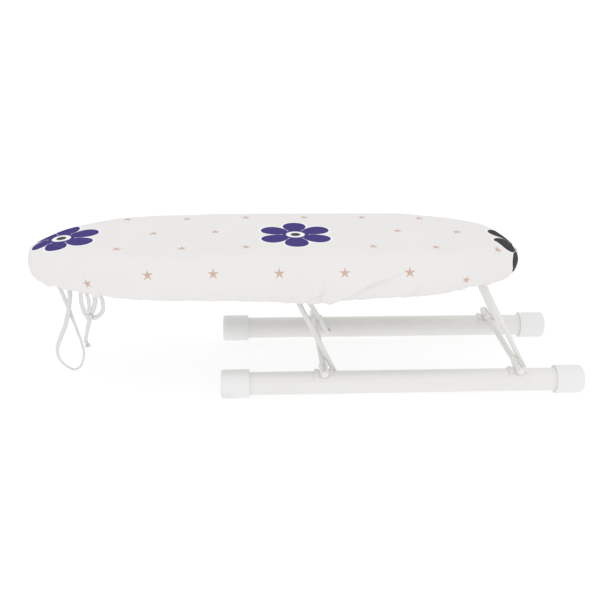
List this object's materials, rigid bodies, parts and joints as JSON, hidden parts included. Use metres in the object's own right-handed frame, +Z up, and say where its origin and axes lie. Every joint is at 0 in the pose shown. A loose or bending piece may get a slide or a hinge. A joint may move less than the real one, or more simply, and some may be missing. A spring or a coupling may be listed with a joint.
{
  "type": "tabletop ironing board",
  "caption": "Narrow padded tabletop ironing board with a fitted drawstring cover, on two leaning wire legs that fold down to a stand of two floor tubes joined by crossbars.",
  "frame": {"origin": "On the floor, midway between the nose tip of the board and the tail end caps of the stand, on the board's centre line.", "axes": "+X along the board from its nose to its tail, +Y across it from the front tube to the rear tube, +Z up from the floor"},
  "size_m": [0.533, 0.1562, 0.143],
  "materials": {
    "white_paint": "semi-gloss powder coat",
    "white_plastic": "smooth moulded, slightly satin",
    "zinc_steel": "bright zinc plating",
    "plate_paint": "thin grey-white enamel",
    "felt_pad": "needled cotton felt",
    "cotton_cover": "plain-weave printed cotton",
    "cotton_cord": "soft white braided cotton"
  },
  "bodies": {
    "stand": {"front_tube": "white_paint", "rear_tube": "white_paint", "cap_front_left": "white_plastic", "cap_front_right": "white_plastic", "cap_rear_left": "white_plastic", "cap_rear_right": "white_plastic", "crossbar_left": "white_paint", "crossbar_right": "white_paint", "saddle_front_left": "white_paint", "saddle_front_right": "white_paint", "saddle_rear_left": "white_paint", "saddle_rear_right": "white_paint", "saddle_rivets": "white_paint"},
    "left_leg": {"leg_left": "white_paint"},
    "right_leg": {"leg_right": "white_paint"},
    "board": {"bracket_left": "zinc_steel", "bracket_right": "zinc_steel", "bracket_rivets_left": "zinc_steel", "bracket_rivets_right": "zinc_steel", "board_plate": "plate_paint", "pad": "felt_pad", "edge_roll": "felt_pad", "cover": "cotton_cover", "hem_cord": "cotton_cord", "string_loop": "cotton_cord", "string_tie_left": "cotton_cord", "string_tie_right": "cotton_cord", "string_bow_left": "cotton_cord", "string_bow_right": "cotton_cord", "string_tail": "cotton_cord", "string_knot": "cotton_cord"}
  },
  "joints": [
    {"name": "fold", "type": "hinge", "parent": "stand", "child": "left_leg", "pos_m": [0.02822, 0, 0.0133], "axis": [0, 1, 0], "range_deg": [0, 105], "deforming": ["cover", "hem_cord", "string_loop", "string_tie_left", "string_tie_right", "string_bow_left", "string_bow_right", "string_tail", "string_knot"]},
    {"name": "board_hinge", "type": "hinge", "parent": "left_leg", "child": "board", "pos_m": [-0.02852, 0, 0.12], "axis": [0, 1, 0], "range_deg": [-105, 0]},
    {"name": "right_leg_hinge", "type": "hinge", "parent": "stand", "child": "right_leg", "pos_m": [0.21622, 0, 0.0133], "axis": [0, 1, 0], "range_deg": [0, 105]}
  ],
  "couplings": [
    {"joint": "board_hinge", "follows": "fold", "ratio": -1},
    {"joint": "right_leg_hinge", "follows": "fold", "ratio": 1}
  ]
}
